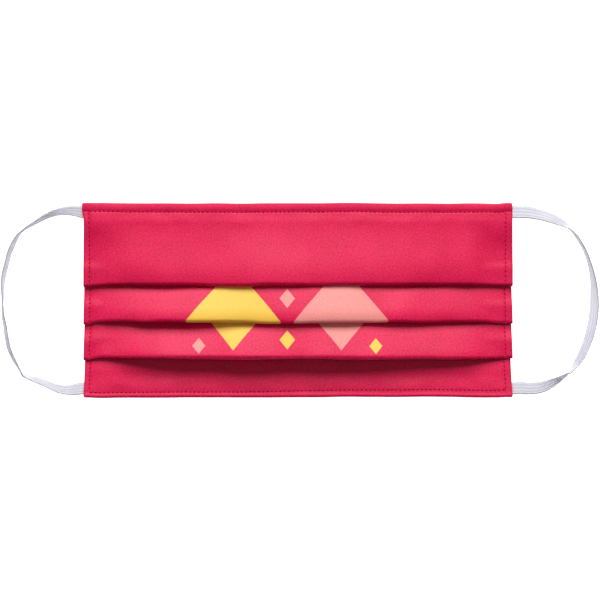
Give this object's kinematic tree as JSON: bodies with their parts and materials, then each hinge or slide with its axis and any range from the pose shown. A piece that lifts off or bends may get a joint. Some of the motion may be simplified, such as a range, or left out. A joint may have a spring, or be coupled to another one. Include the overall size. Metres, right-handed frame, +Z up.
{
  "type": "cloth face mask",
  "caption": "Pleated cloth face mask lying flat, printed side up, with a flat elastic ear loop at each side.",
  "frame": {"origin": "on the surface that the mask lies on, under the middle of its whole outline", "axes": "+X along the width, from the left loop to the right one as the printed side is seen; +Y towards the top edge; +Z up, out of the printed side"},
  "size_m": [0.2785, 0.09, 0.0105],
  "materials": {
    "red_cloth": "matte woven cotton with a printed face",
    "left_elastic": "matte ribbed elastic",
    "right_elastic": "matte ribbed elastic"
  },
  "bodies": {
    "root": {"mask_panel": "red_cloth", "ear_loop_left": "left_elastic", "ear_loop_right": "right_elastic"}
  },
  "joints": []
}
